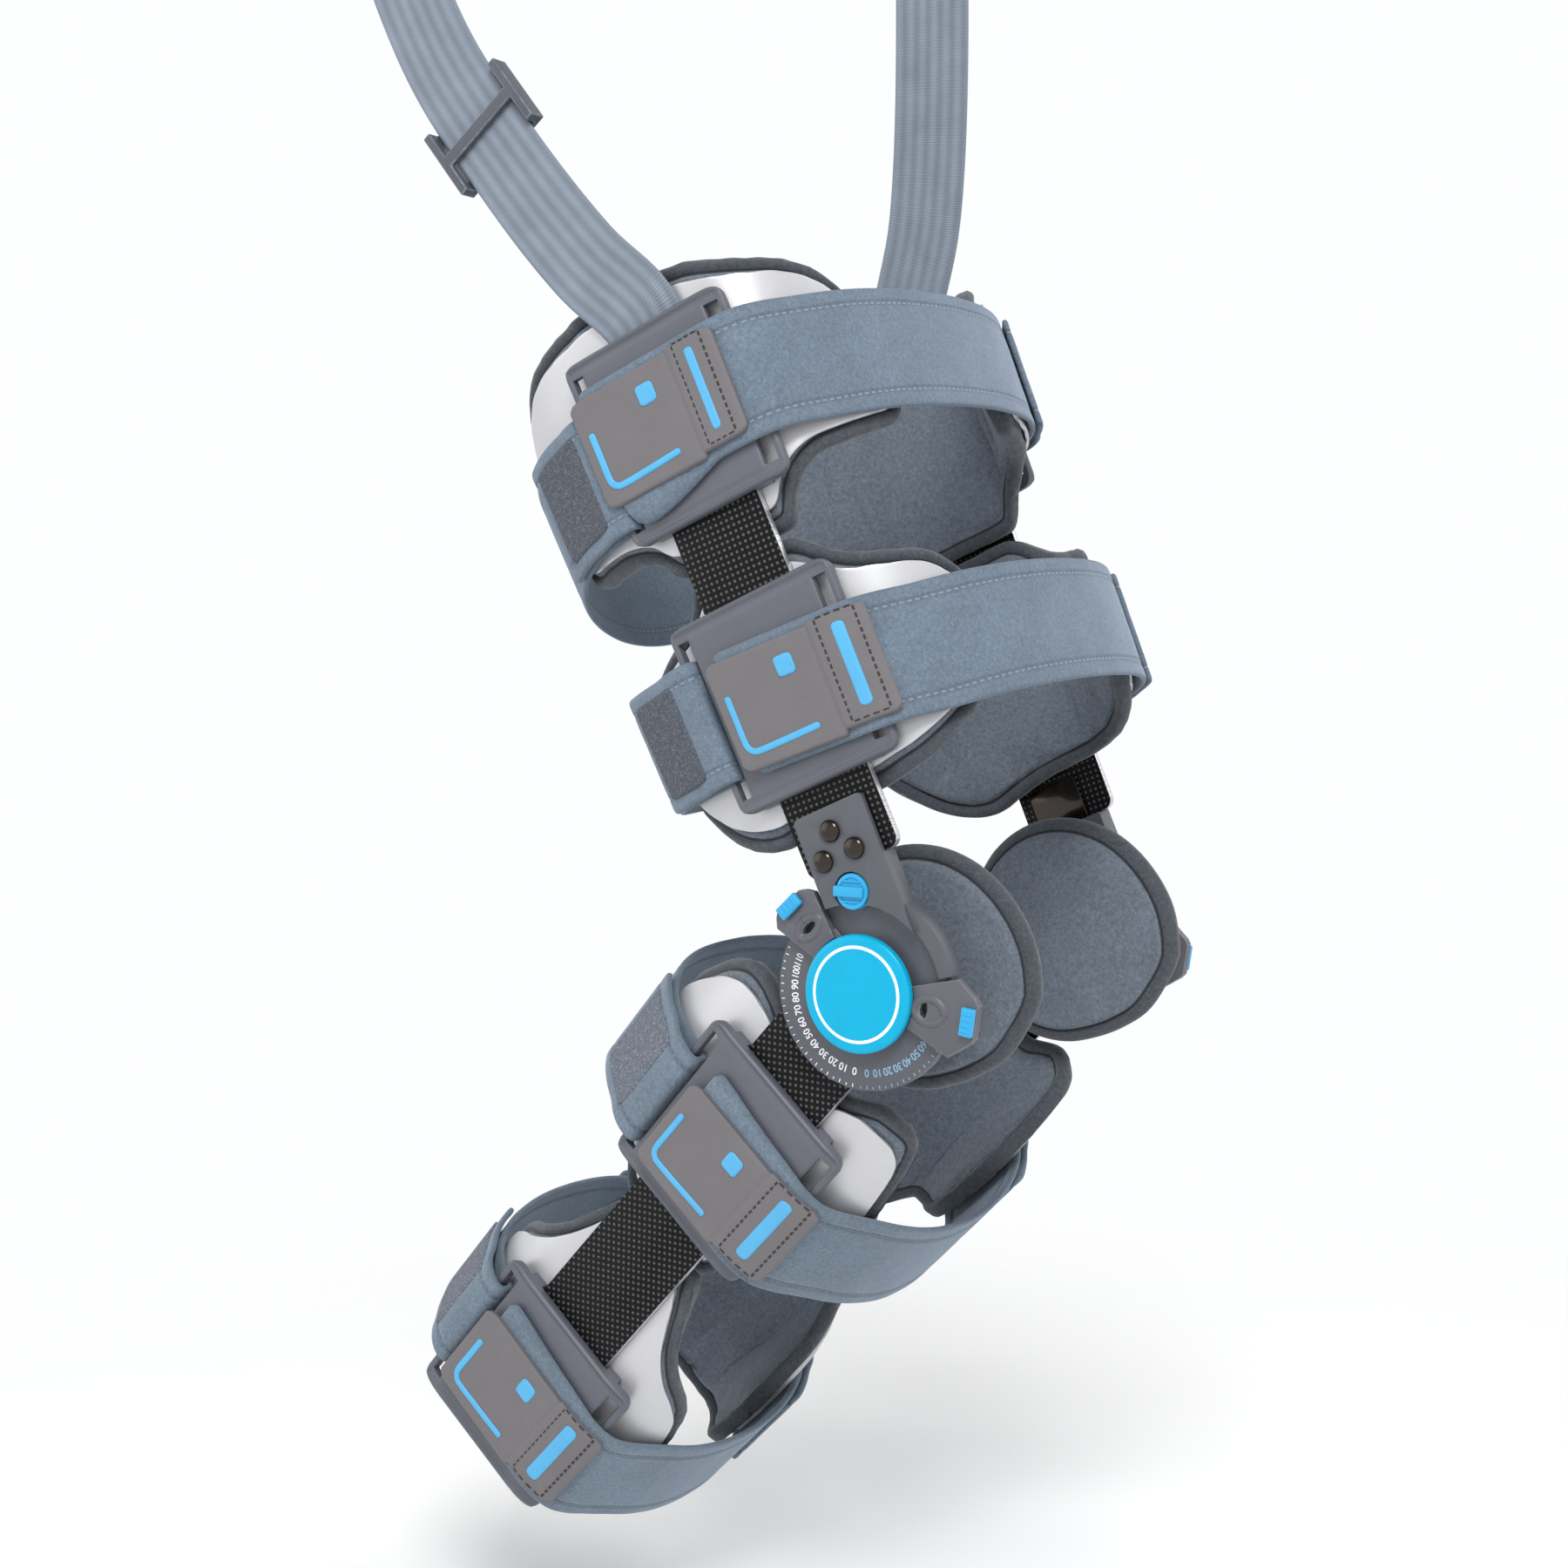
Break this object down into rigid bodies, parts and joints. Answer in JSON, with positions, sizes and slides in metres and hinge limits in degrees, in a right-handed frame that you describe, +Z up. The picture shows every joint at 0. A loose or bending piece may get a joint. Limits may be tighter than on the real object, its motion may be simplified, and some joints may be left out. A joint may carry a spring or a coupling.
{
  "type": "hinged knee immobilizer brace",
  "caption": "Knee immobilizer with two hinged side bars, dial stops, padded shell cuffs with straps and a webbing strap that holds it up.",
  "frame": {"origin": "middle of the knee's axis, half way between the two hinges", "axes": "+X to the front of the leg, -Y to the leg's outer side, +Z up, with the knee bent 67 degrees"},
  "size_m": [0.3076, 0.2128, 0.9843],
  "materials": {
    "bar_black": "black with a fine diagonal weave print",
    "hinge_grey": "satin moulded plastic",
    "cap_blue": "gloss printed cap",
    "accent_blue": "satin moulded plastic",
    "rivet_metal": "dark polished domes",
    "plate_grey": "satin moulded plastic",
    "shell_aluminium": "pale satin",
    "pad_fabric": "knitted pad with a bound edge",
    "strap_fabric": "brushed loop fabric with two stitch lines",
    "tab_rubber": "matt with raised blue marks",
    "webbing_fabric": "ribbed woven webbing"
  },
  "bodies": {
    "thigh_half": {"upper_bar_outer": "bar_black", "upper_bar_inner": "bar_black", "hinge_housing_outer": "hinge_grey", "hinge_housing_inner": "hinge_grey", "hinge_cap_outer": "cap_blue", "hinge_cap_inner": "cap_blue", "rivets_outer": "rivet_metal", "rivets_inner": "rivet_metal", "knee_pad_outer": "pad_fabric", "knee_pad_inner": "pad_fabric", "cuff_1_plate_outer": "plate_grey", "cuff_1_plate_inner": "plate_grey", "cuff_1_shell_outer": "shell_aluminium", "cuff_1_shell_inner": "shell_aluminium", "cuff_1_pad_outer": "pad_fabric", "cuff_1_pad_inner": "pad_fabric", "cuff_1_front_strap": "strap_fabric", "cuff_1_rear_strap": "strap_fabric", "cuff_1_tab": "tab_rubber", "cuff_2_plate_outer": "plate_grey", "cuff_2_plate_inner": "plate_grey", "cuff_2_shell_outer": "shell_aluminium", "cuff_2_shell_inner": "shell_aluminium", "cuff_2_pad_outer": "pad_fabric", "cuff_2_pad_inner": "pad_fabric", "cuff_2_front_strap": "strap_fabric", "cuff_2_rear_strap": "strap_fabric", "cuff_2_tab": "tab_rubber", "suspension_strap": "webbing_fabric", "strap_slider": "hinge_grey"},
    "calf_half": {"lower_bar_outer": "bar_black", "lower_bar_inner": "bar_black", "cuff_3_plate_outer": "plate_grey", "cuff_3_plate_inner": "plate_grey", "cuff_3_shell_outer": "shell_aluminium", "cuff_3_shell_inner": "shell_aluminium", "cuff_3_pad_outer": "pad_fabric", "cuff_3_pad_inner": "pad_fabric", "cuff_3_front_strap": "strap_fabric", "cuff_3_rear_strap": "strap_fabric", "cuff_3_tab": "tab_rubber", "cuff_4_plate_outer": "plate_grey", "cuff_4_plate_inner": "plate_grey", "cuff_4_shell_outer": "shell_aluminium", "cuff_4_shell_inner": "shell_aluminium", "cuff_4_pad_outer": "pad_fabric", "cuff_4_pad_inner": "pad_fabric", "cuff_4_front_strap": "strap_fabric", "cuff_4_rear_strap": "strap_fabric", "cuff_4_tab": "tab_rubber"},
    "rear_stop_outer": {"rear_stop_lever_outer": "hinge_grey"},
    "rear_button_outer": {"rear_stop_button_outer": "accent_blue"},
    "front_stop_outer": {"front_stop_lever_outer": "hinge_grey"},
    "front_button_outer": {"front_stop_button_outer": "accent_blue"},
    "lock_knob_outer": {"lock_knob_outer": "accent_blue"},
    "rear_stop_inner": {"rear_stop_lever_inner": "hinge_grey"},
    "rear_button_inner": {"rear_stop_button_inner": "accent_blue"},
    "front_stop_inner": {"front_stop_lever_inner": "hinge_grey"},
    "front_button_inner": {"front_stop_button_inner": "accent_blue"},
    "lock_knob_inner": {"lock_knob_inner": "accent_blue"}
  },
  "joints": [
    {"name": "knee_bend", "type": "hinge", "parent": "thigh_half", "child": "calf_half", "pos_m": [0, 0, 0], "axis": [0, 1, 0], "range_deg": [-67, 25]},
    {"name": "rear_stop_turn_outer", "type": "hinge", "parent": "thigh_half", "child": "rear_stop_outer", "pos_m": [0, -0.0905, 0], "axis": [0, 1, 0], "range_deg": [-118, 0]},
    {"name": "rear_button_push_outer", "type": "slide", "parent": "rear_stop_outer", "child": "rear_button_outer", "axis": [0.6947, 0, -0.7193], "range_m": [0, 0.002], "stiffness_N_per_m": 400},
    {"name": "front_stop_turn_outer", "type": "hinge", "parent": "thigh_half", "child": "front_stop_outer", "pos_m": [0, -0.0905, 0], "axis": [0, 1, 0], "range_deg": [0, 66]},
    {"name": "front_button_push_outer", "type": "slide", "parent": "front_stop_outer", "child": "front_button_outer", "axis": [-0.9903, 0, 0.1392], "range_m": [0, 0.002], "stiffness_N_per_m": 400},
    {"name": "lock_turn_outer", "type": "hinge", "parent": "thigh_half", "child": "lock_knob_outer", "pos_m": [-0.00279, -0.0915, 0.03583], "axis": [0, 1, 0], "range_deg": [0, 90]},
    {"name": "rear_stop_turn_inner", "type": "hinge", "parent": "thigh_half", "child": "rear_stop_inner", "pos_m": [0, 0.0905, 0], "axis": [0, 1, 0], "range_deg": [-118, 0]},
    {"name": "rear_button_push_inner", "type": "slide", "parent": "rear_stop_inner", "child": "rear_button_inner", "axis": [0.6947, 0, -0.7193], "range_m": [0, 0.002], "stiffness_N_per_m": 400},
    {"name": "front_stop_turn_inner", "type": "hinge", "parent": "thigh_half", "child": "front_stop_inner", "pos_m": [0, 0.0905, 0], "axis": [0, 1, 0], "range_deg": [0, 66]},
    {"name": "front_button_push_inner", "type": "slide", "parent": "front_stop_inner", "child": "front_button_inner", "axis": [-0.9903, 0, 0.1392], "range_m": [0, 0.002], "stiffness_N_per_m": 400},
    {"name": "lock_turn_inner", "type": "hinge", "parent": "thigh_half", "child": "lock_knob_inner", "pos_m": [-0.00279, 0.0915, 0.03583], "axis": [0, 1, 0], "range_deg": [0, 90]}
  ]
}
